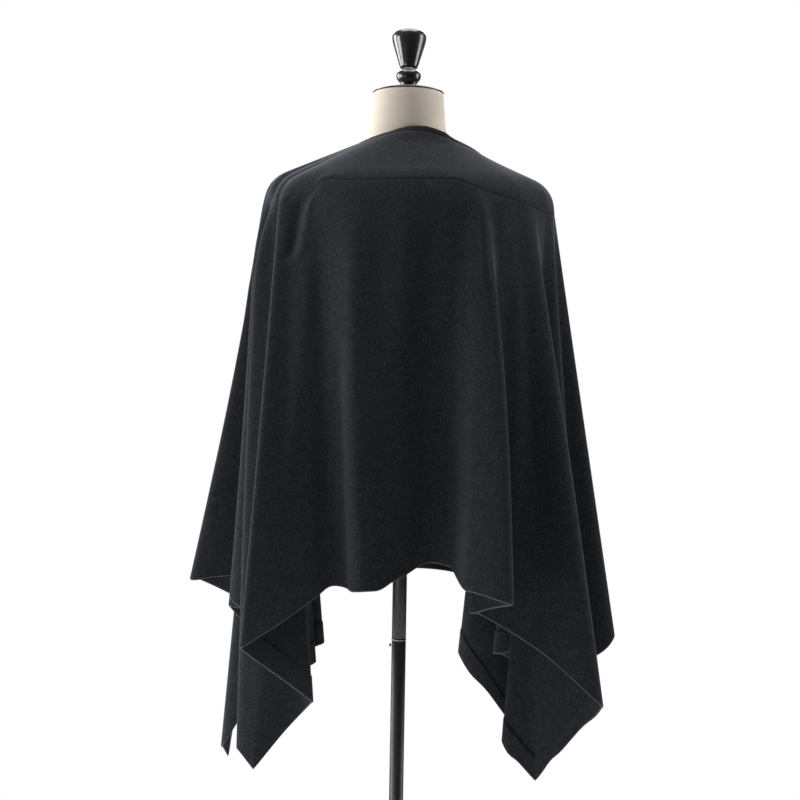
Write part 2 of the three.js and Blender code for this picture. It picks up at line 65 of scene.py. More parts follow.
# Name, kind, place on the neck in degrees, place on the yoke's seam, the turn below it where the line
# has one of its own, the end at the hem, how far above the seam the cloth bends from the shoulder's slope
# into its drop, and how far the line bows sideways halfway down.
FOLD_LINES = [
    ("centre_back", "soft", -86, (38, -118, 1335), (38, -123, 1315), (46, -115, 771), 12, (0, 0)),
    ("back_ease_left", "soft", -101, (-6, -119, 1334), (-6, -124, 1314), (2, -138, 752), 12, (0, 0)),
    ("left_soft_ridge", "soft", -114, (-80, -108, 1333), (-81, -114, 1313), (-52, -168, 736), 14, (-6, 0)),
    ("left_soft_valley", "soft", -122, (-126, -93, 1333), (-127, -98, 1313), (-96, -138, 734), 18, (0, 0)),
    ("left_step", "soft", -128, (-143, -86, 1316), (-144, -88, 1300), (-134, -150, 712), 26, (0, 0)),
    ("left_near_rise", "soft", -134, (-168, -76, 1314), (-170, -78, 1296), (-168, -165, 688), 26, (0, 0)),
    ("left_near_edge", "fold", -140, (-192, -69, 1292), None, (-225, -190, 654), 42, (1, 0)),
    ("left_inner_valley", "fold", -145, (-188, -53, 1291), None, (-127, -105, 567), 42, (0, 0)),
    ("back_left_corner", "corner", -150, (-199, -45, 1296), None, (-213, -93, 458), 46, (-6, 0)),
    ("left_second_edge", "fold", -155, (-208, -36, 1294), (-227, -40, 1238), (-239, -78, 484), 50, (-3, 0)),
    ("left_hidden_valley", "fold", -160, (-207, -25, 1297), None, (-168, -30, 617), 50, (0, 0)),
    ("left_third_edge", "fold", -166, (-219, -14, 1299), (-234, -13, 1246), (-264, 10, 702), 50, (3, 0)),
    ("left_side_valley", "fold", -172, (-217, -2, 1299), None, (-240, 50, 727), 50, (0, 0)),
    ("over_arm_left", "round", -179, (-224, 7, 1299), None, (-333, 60, 721), 50, (5, 0)),
    ("left_far_valley", "fold", -185, (-212, 17, 1299), None, (-205, 78, 664), 48, (0, 0)),
    ("left_far_ridge", "fold", -190, (-214, 25, 1298), None, (-275, 95, 672), 48, (0, 0)),
    ("left_front_valley", "fold", -195, (-206, 34, 1296), None, (-205, 122, 608), 46, (0, 0)),
    ("left_front_edge", "fold", -198, (-211, 43, 1296), None, (-292, 165, 428), 45, (0, 0)),
    ("front_left_corner", "corner", -202, (-208, 51, 1293), None, (-284, 183, 408), 44, (0, 0)),
    ("front_corner_rise", "soft", -204, (-205, 56, 1290), None, (-262, 190, 500), 44, (0, 0)),
    ("front_inner_valley", "fold", -207, (-195, 60, 1288), None, (-138, 156, 572), 42, (0, 0)),
    ("front_small_ridge", "fold", -210, (-192, 67, 1284), None, (-168, 165, 585), 40, (0, 0)),
    ("front_second_valley", "fold", -215, (-183, 74, 1281), None, (-126, 174, 601), 38, (0, 0)),
    ("front_left_edge", "fold", -222, (-176, 86, 1278), None, (-228, 215, 640), 36, (0, 0)),
    ("front_left_rise", "soft", -234, (-118, 96, 1321), None, (-150, 192, 700), 30, (0, 0)),
    ("front_soft_ridge", "soft", -250, (-73, 107, 1322), None, (-76, 200, 715), 20, (0, 0)),
    ("front_soft_valley", "soft", -263, (-16, 110, 1324), None, (0, 172, 729), 18, (0, 0)),
    ("centre_front", "soft", -276, (40, 110, 1325), None, (62, 178, 727), 18, (0, 0)),
    ("front_right_rise", "soft", -291, (92, 104, 1322), None, (120, 196, 712), 22, (0, 0)),
    ("front_right_edge", "fold", -306, (138, 90, 1320), (156, 90, 1290), (181, 218, 677), 28, (0, 0)),
    ("front_right_valley", "fold", -317, (164, 74, 1319), None, (101, 152, 596), 28, (0, 0)),
    ("front_right_corner", "corner", -325, (184, 58, 1317), None, (236, 148, 415), 31, (0, 0)),
    ("right_front_edge", "fold", -330, (192, 50, 1316), None, (264, 126, 468), 33, (0, 0)),
    ("right_front_valley", "fold", -336, (202, 40, 1313), None, (182, 115, 500), 35, (0, 0)),
    ("right_far_ridge", "fold", -343, (212, 28, 1309), None, (286, 104, 548), 37, (0, 0)),
    ("right_far_valley", "fold", -350, (222, 15, 1304), None, (153, 82, 606), 40, (0, 0)),
    ("over_arm_right", "round", -358, (229, 2, 1299), None, (339, 48, 646), 42, (0, 0)),
    ("right_side_valley", "fold", -364, (227, -11, 1299), None, (258, 28, 566), 42, (0, 0)),
    ("right_third_edge", "fold", -370, (222, -24, 1299), None, (289, 2, 560), 41, (0, 0)),
    ("right_corner_edge", "fold", -376, (213, -39, 1298), None, (164, -8, 489), 40, (0, 0)),
    ("back_right_corner", "corner", -382, (202, -55, 1299), None, (213, -20, 429), 39, (0, 0)),
    ("right_second_edge", "fold", -389, (186, -74, 1304), None, (304, -95, 561), 35, (3, 0)),
    ("right_wide_slope", "soft", -397, (162, -91, 1309), None, (211, -92, 639), 28, (0, 0)),
    ("right_inner_valley", "fold", -405, (138, -103, 1314), (138, -107, 1290), (104, -125, 703), 22, (8, 0)),
    ("right_near_edge", "fold", -413, (115, -110, 1320), (117, -116, 1298), (160, -190, 722), 18, (9, 0)),
    ("right_step_ridge", "fold", -420, (95, -114, 1328), (96, -120, 1307), (97, -174, 738), 14, (5, 0)),
    ("right_step_valley", "soft", -430, (72, -117, 1334), (72, -122, 1314), (68, -116, 765), 12, (3, 0)),
]
SHOULDER_BEND = 30.0
SHOULDER_ROUND = 3.0
STRAIGHT_TURN = 0.08
TIGHTNESS = {"fold": 0.6, "round": 0.8, "corner": 0.06, "soft": 0.9}
FOLDS_SET_BY = 0.7
CORNER_REACH = 0.3  # the share of the drop, up from the hem, that a cut corner shapes
FOLD_COUNT = len(FOLD_LINES)
FOLD_INDEX = {row[0]: i for i, row in enumerate(FOLD_LINES)}


def oval_point(degrees, height):
    angle = math.radians(degrees)
    x = NECK_AXIS[0] + NECK_HALF[0] * math.cos(angle)
    return np.array([x, NECK_AXIS[1] + NECK_HALF[1] * math.sin(angle), height])


def neck_point(degrees):
    """Point on the neck's edge, on a smooth closed curve through the heights."""
    first = NECK_HEIGHTS[0][0]
    angle = first - (first - degrees) % 360
    row = max(i for i, (at, _) in enumerate(NECK_HEIGHTS) if angle <= at)
    count = len(NECK_HEIGHTS)
    end = NECK_HEIGHTS[row + 1][0] if row + 1 < count else first - 360
    s = (NECK_HEIGHTS[row][0] - angle) / (NECK_HEIGHTS[row][0] - end)
    p = [oval_point(*NECK_HEIGHTS[(row + k) % count]) for k in (-1, 0, 1, 2)]
    gap = [np.linalg.norm(p[k + 1] - p[k]) ** 0.5 for k in range(3)]
    slope_a = (p[1] - p[0]) / gap[0] - (p[2] - p[0]) / (gap[0] + gap[1]) + (p[2] - p[1]) / gap[1]
    slope_b = (p[2] - p[1]) / gap[1] - (p[3] - p[1]) / (gap[1] + gap[2]) + (p[3] - p[2]) / gap[2]
    blend = 2 * s**3 - 3 * s**2 + 1
    curve = p[1] * blend + p[2] * (1 - blend)
    return curve + gap[1] * (slope_a * (s**3 - 2 * s**2 + s) + slope_b * (s**3 - s**2))


def unit(v):
    return v / np.maximum(np.linalg.norm(v, axis=-1, keepdims=True), 1e-9)


def arc(a, b, c, t):
    t = t[..., None]
    return a * (1 - t) ** 2 + b * 2 * t * (1 - t) + c * t**2


class FoldPath:
    """One fold line: over the shoulder at levels 0 to 1, round its turn and down to the hem from 1 to 2."""

    def __init__(self, name, kind, neck_at, seam, turn, hem, lift, bow):
        self.kind = kind
        self.neck = neck_point(neck_at)
        self.seam = np.array(seam, float)
        self.hem = np.array(hem, float)
        straight = self.seam + (self.hem - self.seam) * STRAIGHT_TURN
        self.turn = straight if turn is None else np.array(turn, float)
        self.above = self.seam + unit(self.seam - self.turn) * lift
        away = np.linalg.norm((self.above - self.seam)[:2]) / np.linalg.norm((self.neck - self.seam)[:2])
        slope = self.seam[2] + (self.neck[2] - self.seam[2]) * away
        self.above[2] = max(self.above[2], slope + SHOULDER_ROUND)
        reach, drop = np.linalg.norm(self.above - self.neck), np.linalg.norm(self.above - self.seam)
        leg = min(SHOULDER_BEND, drop, reach)
        self.slope_end = self.above + unit(self.neck - self.above) * leg
        self.drop_start = self.above + unit(self.seam - self.above) * leg
        self.over = np.array([max(reach - leg, 0.1), 2 * leg, max(drop - leg, 0.1)])
        self.bend = np.linalg.norm(self.seam - self.turn)
        self.straight_from = self.turn + unit(self.hem - self.turn) * self.bend
        self.length = 2 * self.bend + np.linalg.norm(self.hem - self.straight_from)
        self.bow = np.array([bow[0], bow[1], 0.0])

    def at(self, level):
        level = np.asarray(level, float)
        gone = np.clip(level, 0, 1) * self.over.sum()
        slope, bending, drop = self.over
        over = self.neck + (self.slope_end - self.neck) * np.clip(gone / slope, 0, 1)[..., None]
        over += arc(self.slope_end, self.above, self.drop_start, np.clip((gone - slope) / bending, 0, 1))
        fall = np.clip((gone - slope - bending) / drop, 0, 1)[..., None]
        over += (self.seam - self.drop_start) * fall - self.slope_end
        gone = np.clip(level - 1, 0, None) * self.length
        turning = arc(self.seam, self.turn, self.straight_from, np.clip(gone / (2 * self.bend), 0, 1))
        share = np.clip((gone - 2 * self.bend) / (self.length - 2 * self.bend), 0, 1)[..., None]
        down = turning + (self.hem - self.straight_from) * share
        points = np.where((level <= 1)[..., None], over, down)
        return points + self.bow * np.sin(np.pi * np.clip(level - 1, 0, 1))[..., None]


PATHS = [FoldPath(*row) for row in FOLD_LINES]


def crossing(i, level):
    """Where the cloth's row crosses fold line i: the point, the row's direction and its tightness."""
    i = i % FOLD_COUNT
    here = PATHS[i].at(level)
    direction = unit(PATHS[(i + 1) % FOLD_COUNT].at(level) - here) + unit(here - PATHS[i - 1].at(level))
    settled = np.clip((level - 1) / FOLDS_SET_BY, 0, 1)[..., None]
    if PATHS[i].kind == "corner":
        settled = np.clip((level - 2 + CORNER_REACH) / CORNER_REACH, 0, 1)[..., None] ** 2
    if PATHS[i].kind in ("fold", "round"):
        step = 0.01
        down = unit(PATHS[i].at(np.minimum(2, level + step)) - PATHS[i].at(np.maximum(0, level - step)))
        direction = direction - down * (direction * down).sum(-1, keepdims=True) * settled
    tight = TIGHTNESS["soft"] + (TIGHTNESS[PATHS[i].kind] - TIGHTNESS["soft"]) * settled
    return here, unit(direction), tight


# The cloth's columns and rows: columns about 5 mm apart at the hem and closer at the folds, rows that
# lie closer at the shoulder and end in the turned-up hem at the same height everywhere.
COLUMN_STEP = 5.2
COLUMNS_AT_FOLDS = 0.4  # how much closer the columns lie beside a fold line
ROWS_AT_TOP = 0.25
SEAM_ROWS = [0.0012, 0.0035]  # rows right below the seam, as shares of the drop
CAP_LEVELS = [k / 21 for k in range(21)] + [0.975, 0.988, 0.996]  # from the neck to the seam
SKIRT_ROWS = 104
HEM_ROWS = [  # mm from the edge
    37.0, 36.6, 35.9, 33.0, 28.0, 22.0, 16.0, 10.0, 5.0, 2.4, 1.2, 0.5, 0.12, 0.0,
]

column_line, column_share = [], []
for i in range(FOLD_COUNT):
    width = np.linalg.norm(PATHS[i].hem - PATHS[(i + 1) % FOLD_COUNT].hem)
    count = max(4, round(width / COLUMN_STEP))
    share = np.arange(count) / count
    column_line += [i] * count
    eased = 3 * share**2 - 2 * share**3
    column_share += list(share * (1 - COLUMNS_AT_FOLDS) + eased * COLUMNS_AT_FOLDS)
column_line, column_share = np.array(column_line), np.array(column_share)
COLUMN_COUNT = len(column_line)
COLUMN_AT = column_line + column_share
cap_levels = np.array(CAP_LEVELS)
skirt_share = np.linspace(0, 1, SKIRT_ROWS)
skirt_share = skirt_share * (1 - ROWS_AT_TOP) + skirt_share**2 * ROWS_AT_TOP
skirt_share = np.sort(np.append(skirt_share, SEAM_ROWS))

cloth = []
cloth_level = []
for i in range(FOLD_COUNT):
    share = column_share[column_line == i][:, None]
    length = PATHS[i].length * (1 - share) + PATHS[(i + 1) % FOLD_COUNT].length * share
    hem_levels = 2 - np.array(HEM_ROWS)[None, :] / length
    skirt = 1 + skirt_share[None, :-1] * (hem_levels[:, :1] - 1)
    level = np.hstack([np.repeat(cap_levels[None, :], len(share), 0), skirt, hem_levels])
    a, direction_a, tight_a = crossing(i, level)
    b, direction_b, tight_b = crossing(i + 1, level)
    gap = np.linalg.norm(b - a, axis=-1, keepdims=True)
    s = share[..., None]
    blend = 2 * s**3 - 3 * s**2 + 1
    point = a * blend + b * (1 - blend)
    point += direction_a * gap * tight_a * (s**3 - 2 * s**2 + s)
    point += direction_b * gap * tight_b * (s**3 - s**2)
    cloth.append(point)
    cloth_level.append(level)
cloth = np.vstack(cloth)
cloth_level = np.vstack(cloth_level)
ROW_COUNT = cloth.shape[1]
SEAM_ROW = len(CAP_LEVELS)
HEM_FIRST = ROW_COUNT - len(HEM_ROWS)


# Between the neck and the bend over the shoulder the cloth lies smooth: no fold runs on up to the neck.
SMOOTH_IN = 0.2  # the level below which the neck's own edge still shapes the cloth
SMOOTH_END = 0.94
SMOOTH_FADE = 0.22
SMOOTH_PASSES = 220
row_levels = cloth_level.mean(0)
for j in range(1, SEAM_ROW):
    smoothing = min(1, row_levels[j] / SMOOTH_IN) * np.clip((SMOOTH_END - row_levels[j]) / SMOOTH_FADE, 0, 1)
    for _ in range(int(SMOOTH_PASSES * smoothing)):
        cloth[:, j] = 0.5 * cloth[:, j] + 0.25 * (np.roll(cloth[:, j], 1, 0) + np.roll(cloth[:, j], -1, 0))

# Where the hem waves up or down from its run between the fold lines: a fold line, a share of the way to
# the next, how far down in mm and the half width in mm.
HEM_WAVES = [
    ("back_ease_left", 0.6, 5.5, 20), ("left_soft_ridge", 0.4, 2.5, 16), ("left_soft_valley", 0.15, -4.5, 14),
    ("left_inner_valley", 0.12, 6.0, 50), ("right_step_ridge", 0.85, -4.0, 12),
    ("front_right_valley", 0.2, 11.0, 34), ("right_inner_valley", 0.2, 4.0, 20),
    ("right_corner_edge", 0.3, 6.5, 16), ("back_right_corner", 0.3, -5.5, 18),
    ("back_right_corner", 0.8, 6.0, 24), ("over_arm_right", 0.3, 5.0, 22),
    ("left_hidden_valley", 0.85, 6.0, 14), ("left_side_valley", 0.8, 3.0, 16),
]
HEM_WAVE_REACH = 150.0  # mm up the cloth


def along_row(j):
    """Length along a row of the cloth at each column, and the row's whole length."""
    step = np.linalg.norm(np.roll(cloth[:, j], -1, 0) - cloth[:, j], axis=-1)
    run = np.append(0, np.cumsum(step))
    return run[:-1], run[-1]


hem_run, hem_around = along_row(-1)
hem_shift = np.zeros(COLUMN_COUNT)
for name, share, down, half_width in HEM_WAVES:
    place = (FOLD_INDEX[name] + share) % FOLD_COUNT
    middle = np.interp(place, np.append(COLUMN_AT, FOLD_COUNT), np.append(hem_run, hem_around))
    distance = np.abs(hem_run - middle)
    distance = np.minimum(distance, hem_around - distance)
    hem_shift += down * np.exp(-((distance / half_width) ** 2))
from_hem = (2 - cloth_level) * np.array([PATHS[i].length for i in column_line])[:, None]
reach = np.clip(1 - from_hem / HEM_WAVE_REACH, 0, 1) ** 2
cloth = cloth + unit(cloth[:, -1:] - cloth[:, -20:-19]) * (hem_shift[:, None] * reach)[..., None]


def cloth_normals(points):
    before = unit(points - np.roll(points, 1, 0))
    after = unit(np.roll(points, -1, 0) - points)
    down = np.gradient(points, axis=1)
    return unit(np.cross(before + after, down))


# Smaller creases, placed one by one: where each begins and ends as a fold line, a share of the way to the
# next and a level, then its height in mm, positive for a ridge, and its half width in mm.
CREASES = [
    # on the back panel, from the yoke's seam downwards
    (("left_soft_ridge", -0.15, 1.02), ("left_soft_ridge", 0.2, 2.3), 6.5, 19),
    (("left_soft_ridge", 0.5, 1.3), ("left_soft_ridge", 0.75, 2.3), -5.0, 15),
    (("back_ease_left", 0.6, 1.1), ("back_ease_left", 0.5, 1.9), -3.5, 22),
    (("left_soft_valley", 0.25, 1.05), ("left_soft_valley", 0.1, 2.3), -4.0, 22),
    (("left_soft_valley", 0.8, 1.0), ("left_near_rise", 0.1, 1.8), 2.5, 14),
    (("centre_back", 0.35, 1.12), ("centre_back", 0.1, 2.3), -4.0, 26),
    (("centre_back", 0.85, 1.02), ("back_ease_left", 0.1, 1.5), 2.0, 18),
    (("right_step_valley", 0.25, 1.0), ("right_step_valley", 0.55, 1.45), 2.0, 16),
    (("right_step_ridge", 0.5, 1.0), ("right_step_ridge", 0.2, 1.7), -2.0, 12),
    # under the yoke at the left shoulder: a narrow valley, the soft ridge beside it and a slanting wrinkle
    (("left_step", 0.45, 1.0), ("left_near_rise", 0.1, 1.16), -6.0, 10),
    (("left_soft_valley", 0.8, 1.0), ("left_step", 0.65, 1.18), 3.5, 9),
    (("centre_back", 0.12, 1.01), ("right_step_valley", 0.7, 1.07), 2.2, 7),
    (("right_near_edge", 0.3, 1.0), ("right_near_edge", 0.55, 1.28), 3.0, 9),
    (("right_inner_valley", 0.5, 1.0), ("right_inner_valley", 0.4, 1.45), -3.0, 13),
    # on the front panel and at the sides
    (("front_left_rise", 0.4, 1.02), ("front_left_rise", 0.3, 1.75), -4.0, 20),
    (("front_soft_ridge", 0.2, 1.05), ("front_soft_ridge", 0.05, 2.3), 4.5, 20),
    (("front_soft_valley", 0.35, 1.0), ("front_soft_valley", 0.6, 1.8), -3.5, 22),
    (("centre_front", 0.5, 1.04), ("centre_front", 0.35, 2.3), 4.0, 18),
    (("front_right_rise", 0.45, 1.0), ("front_right_rise", 0.6, 1.6), -3.0, 15),
    (("right_wide_slope", 0.15, 1.1), ("right_wide_slope", 0.4, 1.8), 2.0, 18),
    (("over_arm_left", 0.2, 1.2), ("over_arm_left", 0.25, 1.75), -2.0, 16),
]


CREASE_FADE = 0.2  # the share of a crease's length over which it rises from the cloth at each end


def raised_by_creases(points):
    """How far the creases lift each point of the cloth outwards, in mm."""
    step = np.linalg.norm(np.roll(points, -1, 0) - points, axis=-1)
    across = np.vstack([np.zeros(points.shape[1]), np.cumsum(step, 0)])
    around = across[-1]
    raised = np.zeros(points.shape[:2])
    places = np.append(COLUMN_AT, FOLD_COUNT)
    for (start, start_share, start_level), (end, end_share, end_level), height, half_width in CREASES:
        at_start, at_end = FOLD_INDEX[start] + start_share, FOLD_INDEX[end] + end_share
        if at_end - at_start > FOLD_COUNT / 2:
            at_start += FOLD_COUNT
        for j, level in enumerate(row_levels):
            t = (level - start_level) / (end_level - start_level)
            if not 0 < t < 1:
                continue
            fade = min(1, t / CREASE_FADE) * min(1, (1 - t) / CREASE_FADE)
            fade = fade * fade * (3 - 2 * fade)
            place = (at_start + (at_end - at_start) * t) % FOLD_COUNT
            middle = np.interp(place, places, across[:, j])
            distance = np.abs(across[:-1, j] - middle)
            distance = np.minimum(distance, around[j] - distance)
            raised[:, j] += height * fade * np.exp(-((distance / half_width) ** 2))
    return raised


cloth = cloth + cloth_normals(cloth) * raised_by_creases(cloth)[..., None]
cloth_normal = cloth_normals(cloth)


def mesh_piece(name, vertices, faces, material):
    mesh = bpy.data.meshes.new(name)
    mesh.from_pydata((np.asarray(vertices) * 0.001).tolist(), [], faces)
    mesh.validate()
    mesh.polygons.foreach_set("use_smooth", [True] * len(mesh.polygons))
    mesh.materials.append(material)
    piece = bpy.data.objects.new(name, mesh)
    scene.collection.objects.link(piece)
    return piece


SEAM_THIN = 0.45  # what the pressed seam leaves of the wall
SEAM_GROOVE = 1.8  # mm from the seam to the full wall
HEM_ROUND = 1.8  # mm from the edge to the full thickness of the hem
# the rows at a hem's fold that carry the painted highlight, and how strongly
RIM_HIGHLIGHT_ROWS = 4
RIM_HIGHLIGHT_SHARE = 0.7


def cloth_shell(name, columns, first_row, last_row, sewn_top, sewn_bottom, material):
    """The cloth between two columns and two rows, as a closed wall with rounded edges."""
    rows = np.arange(first_row, last_row + 1)
    middle = cloth[np.ix_(columns, rows)].copy()
    normal = cloth_normal[np.ix_(columns, rows)]
    hemmed = last_row == ROW_COUNT - 1
    if sewn_top:
        middle[:, 0] += unit(middle[:, 1] - middle[:, 0]) * SEAM_GAP / 2
    if sewn_bottom:
        middle[:, -1] += unit(middle[:, -2] - middle[:, -1]) * SEAM_GAP / 2
    middle[0] += unit(middle[1] - middle[0]) * SEAM_GAP / 2
    middle[-1] += unit(middle[-2] - middle[-1]) * SEAM_GAP / 2
    outer = np.full(middle.shape[:2], WALL / 2)
    inner = np.full(middle.shape[:2], -WALL / 2)
    if hemmed:
        from_edge = np.array(HEM_ROWS)
        turned = np.where(from_edge < HEM_DEPTH + 1, HEM_EXTRA, 0.0)
        total = WALL + HEM_EXTRA
        round_share = np.sqrt(1 - np.clip(1 - from_edge / HEM_ROUND, 0, 1) ** 2)
        middle_line = WALL / 2 - total / 2
        edge_rows = from_edge < HEM_ROUND
        outer[:, -len(from_edge):] = np.where(edge_rows, middle_line + total / 2 * round_share, WALL / 2)
        inside_of_hem = -WALL / 2 - turned
        inner[:, -len(from_edge):] = np.where(edge_rows, middle_line - total / 2 * round_share, inside_of_hem)
    # the wall thins where it is sewn, which leaves the seam as a fine groove
    lengths = np.linalg.norm(np.diff(middle, axis=1), axis=-1)
    from_top = np.hstack([np.zeros((len(columns), 1)), np.cumsum(lengths, 1)])
    from_bottom = from_top[:, -1:] - from_top
    thin = np.ones(middle.shape[:2])
    for sewn, distance in ((sewn_top, from_top), (sewn_bottom, from_bottom)):
        if sewn:
            thin *= SEAM_THIN + (1 - SEAM_THIN) * np.clip(distance / SEAM_GROOVE, 0, 1)
    outside = middle + normal * (outer * thin)[..., None]
    inside = middle + normal * (inner * thin)[..., None]
    loop = np.concatenate([outside, inside[:, ::-1]], 1)
    if hemmed:
        loop = np.delete(loop, len(rows), 1)
    around = loop.shape[1]
    vertices = loop.reshape(-1, 3)
    faces = []
    for k in range(len(columns) - 1):
        a, b = k * around, (k + 1) * around
        for j in range(around):
            n = (j + 1) % around
            faces.append((a + j, b + j, b + n, a + n))
    # the two ends, where the back and the front meet over the arm
    for base, turned_round in ((0, False), ((len(columns) - 1) * around, True)):
        for j in range((around - 1) // 2):
            low, high = base + j, base + around - 1 - j
            face = (low, low + 1, high - 1, high) if low + 1 != high - 1 else (low, low + 1, high)
            faces.append(face[::-1] if turned_round else face)
    piece = mesh_piece(name, vertices, faces, material)
    if hemmed:
        # painted highlight: the fold of the hem is given a paler colour, for the thin pale rim of light that
        # its loose fibres catch
        rim_highlight = np.zeros(loop.shape[:2])
        rim_highlight[:, len(rows) - RIM_HIGHLIGHT_ROWS : len(rows) + RIM_HIGHLIGHT_ROWS - 1] = RIM_HIGHLIGHT_SHARE
        piece.data.attributes.new("painted_rim_highlight", "FLOAT", "POINT").data.foreach_set("value", rim_highlight.ravel())
    return piece


def node_material(name):
    material = bpy.data.materials.new(name)
    material.use_nodes = True
    nodes, links = material.node_tree.nodes, material.node_tree.links
    place = nodes.new("ShaderNodeTexCoord").outputs["Object"]
    return material, nodes, links, nodes["Principled BSDF"], place


def noise(nodes, links, place, scale, detail=3.0, stretch=(1, 1, 1), turn=(0, 0, 0)):
    mapping = nodes.new("ShaderNodeMapping")
    mapping.inputs["Scale"].default_value = stretch
    mapping.inputs["Rotation"].default_value = [math.radians(x) for x in turn]
    links.new(place, mapping.inputs["Vector"])
    texture = nodes.new("ShaderNodeTexNoise")
    texture.inputs["Scale"].default_value = scale
    texture.inputs["Detail"].default_value = detail
    links.new(mapping.outputs["Vector"], texture.inputs["Vector"])
    return texture.outputs["Fac"]


def ramp(nodes, links, value, stops):
    curve = nodes.new("ShaderNodeValToRGB")
    for k, (at, color) in enumerate(stops):
        stop = curve.color_ramp.elements[k] if k < 2 else curve.color_ramp.elements.new(at)
        stop.position = at
        stop.color = (*color, 1)
    links.new(value, curve.inputs["Fac"])
    return curve.outputs["Color"]


def mixed(nodes, links, share, a, b, mode="MIX"):
    mix = nodes.new("ShaderNodeMix")
    mix.data_type = "RGBA"
    mix.blend_type = mode
    for socket, value in ((mix.inputs[0], share), (mix.inputs[6], a), (mix.inputs[7], b)):
        if isinstance(value, float):
            socket.default_value = value
        elif isinstance(value, tuple):
            socket.default_value = (*value, 1)
        else:
            links.new(value, socket)
    return mix.outputs[2]


def bump(nodes, links, shader, height, strength, distance):
    node = nodes.new("ShaderNodeBump")
    node.inputs["Strength"].default_value = strength
    node.inputs["Distance"].default_value = distance
    links.new(height, node.inputs["Height"])
    links.new(node.outputs["Normal"], shader.inputs["Normal"])


def grey(value):
    return (value, value, value)


RIM_HIGHLIGHT_LIGHTNESS = 1.7  # how much lighter than the fibre flecks the painted highlight at a hem's fold is


def wool_material(name, dark, light, fleck):
    """Felted, brushed wool: a heathered ground with short light fibres that lie every way on it, and a
    painted highlight along a hem's fold.
    """
    material, nodes, links, shader, place = node_material(name)
    cloud = mixed(nodes, links, 0.6, noise(nodes, links, place, 9, 4), noise(nodes, links, place, 85, 3))
    blotch = ramp(nodes, links, cloud, [(0.38, grey(0)), (0.62, grey(1))])
    melange = noise(nodes, links, place, 650, 4, (1, 1, 0.6))
    tone = ramp(nodes, links, melange, [(0.32, grey(0.62)), (0.68, grey(1))])
    ground = mixed(nodes, links, 1.0, mixed(nodes, links, blotch, dark, light), tone, "MULTIPLY")
    hue = ramp(nodes, links, noise(nodes, links, place, 45, 4),
               [(0.4, (1.05, 0.99, 1.0)), (0.6, (0.95, 1.01, 1.0))])
    ground = mixed(nodes, links, 1.0, ground, hue, "MULTIPLY")
    fibres = None
    for turn, scale in (((20, 35, 10), 1050), ((70, -25, 50), 1120), ((-40, 60, -30), 1230)):
        streak = noise(nodes, links, place, scale, 1, (1, 1, 0.3), turn)
        fibre = ramp(nodes, links, streak, [(0.55, grey(0)), (0.74, grey(0.42))])
        fibres = fibre if fibres is None else mixed(nodes, links, 1.0, fibres, fibre, "ADD")
    cloth_colour = mixed(nodes, links, fibres, ground, fleck)
    # painted highlight: along a hem's fold the colour turns paler, for the light that the loose fibres there
    # catch
    edge = nodes.new("ShaderNodeAttribute")
    edge.attribute_name = "painted_rim_highlight"
    rim_highlight_colour = tuple(RIM_HIGHLIGHT_LIGHTNESS * channel for channel in fleck)
    links.new(mixed(nodes, links, edge.outputs["Fac"], cloth_colour, rim_highlight_colour), shader.inputs["Base Color"])
    shader.inputs["Roughness"].default_value = 0.95
    shader.inputs["Specular IOR Level"].default_value = 0.12
    shader.inputs["Sheen Weight"].default_value = 0.17
    shader.inputs["Sheen Roughness"].default_value = 0.35
    shader.inputs["Sheen Tint"].default_value = (0.5, 0.55, 0.62, 1)
    bump(nodes, links, shader, mixed(nodes, links, 0.5, melange, fibres), 0.4, 0.0007)
    return material


wool = wool_material("wool", (0.0185, 0.0215, 0.0262), (0.0262, 0.030, 0.0355), (0.068, 0.073, 0.08))

# Yoke, back panel and front panel. The yoke lies over the shoulders like a shirt's, the back is eased
# into its straight seam, and the front runs from the neck to its hem in one piece. Both hems are
# turned up once on the inside and blind-stitched.
left_arm = int(np.argmin(np.abs(COLUMN_AT - FOLD_INDEX["over_arm_left"])))
right_arm = int(np.argmin(np.abs(COLUMN_AT - FOLD_INDEX["over_arm_right"])))
back_columns = np.r_[right_arm:COLUMN_COUNT, 0 : left_arm + 1]
front_columns = np.arange(left_arm, right_arm + 1)
back_yoke = cloth_shell("back_yoke_cloth", back_columns, 0, SEAM_ROW, False, True, wool)
back_panel = cloth_shell("back_panel_cloth", back_columns, SEAM_ROW, ROW_COUNT - 1, True, False, wool)
front_panel = cloth_shell("front_panel_cloth", front_columns, 0, ROW_COUNT - 1, False, False, wool)
for piece, node in ((back_yoke, "back_yoke"), (back_panel, "back_panel"), (front_panel, "front_panel")):
    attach(piece, "root")
    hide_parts(node)

# Hem stitches. One running stitch in black thread holds the turned-up hem, on the inside of the cloth,
# a few millimetres below the turned-up edge. It catches only a few fibres and doesn't show outside. The
# thread's near-black is partly its own colour and partly painted shade: it also draws the dark line of
# shade under the turned-up edge.
STITCH_FROM_EDGE = 32.5
STITCH_PITCH = 6.0
bpy.ops.object.select_all(action="DESELECT")
bpy.ops.mesh.primitive_cylinder_add(vertices=6, radius=0.00035, depth=0.0026, end_fill_type="NGON")
thread = bpy.context.object
bpy.ops.object.mode_set(mode="EDIT")
bpy.ops.mesh.select_all(action="SELECT")
bpy.ops.mesh.bevel(offset=0.00022, segments=1)
bpy.ops.object.mode_set(mode="OBJECT")
thread_points = np.array([v.co[:] for v in thread.data.vertices]) * 1000
thread_faces = [tuple(p.vertices) for p in thread.data.polygons]
bpy.data.objects.remove(thread)
# near-black thread, partly painted shade for the line under the hem's turned-up edge
black_thread_and_hem_shade, nodes, links, shader, place = node_material("black_thread_and_hem_shade")
ply = noise(nodes, links, place, 2600, 2, (1, 1, 0.4), (0, 35, 0))
links.new(ramp(nodes, links, ply, [(0.35, (0.004, 0.004, 0.005)), (0.65, (0.012, 0.012, 0.014))]),
          shader.inputs["Base Color"])
shader.inputs["Roughness"].default_value = 0.6
bump(nodes, links, shader, ply, 0.4, 0.0002)


